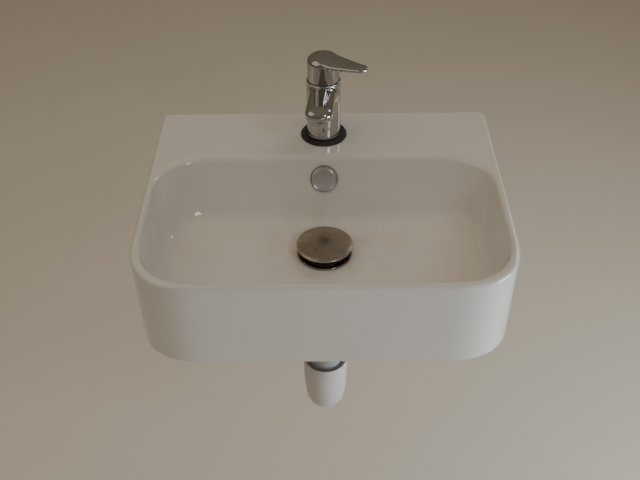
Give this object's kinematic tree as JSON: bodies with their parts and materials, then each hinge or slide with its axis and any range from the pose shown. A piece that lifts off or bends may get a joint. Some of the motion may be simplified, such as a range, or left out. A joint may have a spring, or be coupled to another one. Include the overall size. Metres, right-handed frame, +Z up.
{
  "type": "wall-hung washbasin with mixer tap and bottle trap, from a yacht's toilet compartment",
  "caption": "Small wall-hung ceramic washbasin with a single-lever mixer tap, push-open waste, overflow and bottle trap.",
  "frame": {"origin": "on the basin's flat back face, midway between the two wall bolts and 55 mm below the rim", "axes": "+X to the right as the user faces the basin, +Y into the wall, +Z up"},
  "size_m": [0.4, 0.325, 0.437],
  "materials": {
    "ceramic": "glossy white glaze",
    "chrome": "polished",
    "steel": "plain zinc-grey steel",
    "brass": "turned, unplated",
    "black_rubber": "matt black",
    "grey_rubber": "matt dark grey",
    "white_plastic": "smooth white",
    "nylon": "off-white nylon"
  },
  "bodies": {
    "fixed": {"basin": "ceramic", "overflow_cover": "chrome", "tap_gasket": "black_rubber", "tap_body": "chrome", "tap_aerator": "steel", "tap_cartridge": "nylon", "tap_stud": "brass", "tap_rubber_washer": "grey_rubber", "tap_steel_washer": "steel", "tap_nut": "brass", "waste_body": "chrome", "waste_rubber_washer": "grey_rubber", "waste_back_nut": "brass", "trap_inlet_nut": "white_plastic", "trap_dip_tube": "white_plastic", "trap_top_nut": "white_plastic", "trap_body": "white_plastic", "trap_cup": "white_plastic", "trap_outlet_nut": "white_plastic", "trap_outlet_pipe": "white_plastic", "outlet_wall_plate": "white_plastic", "wall_bolt_left": "steel", "bolt_sleeve_left": "nylon", "bolt_washer_left": "steel", "bolt_nut_left": "steel", "wall_bolt_right": "steel", "bolt_sleeve_right": "nylon", "bolt_washer_right": "steel", "bolt_nut_right": "steel"},
    "carrier": {"lever_carrier": "nylon"},
    "lever": {"tap_lever": "chrome"},
    "plug": {"waste_cap": "chrome"}
  },
  "joints": [
    {"name": "lever_turn", "type": "hinge", "parent": "fixed", "child": "carrier", "pos_m": [0, -0.049, 0.133], "axis": [0, 0, 1], "range_deg": [-114, 0]},
    {"name": "lever_lift", "type": "hinge", "parent": "carrier", "child": "lever", "pos_m": [0, -0.049, 0.133], "axis": [-0.5446, -0.8387, 0], "range_deg": [0, 20]},
    {"name": "waste_push", "type": "slide", "parent": "fixed", "child": "plug", "axis": [0, 0, 1], "range_m": [-0.0085, 0]}
  ]
}
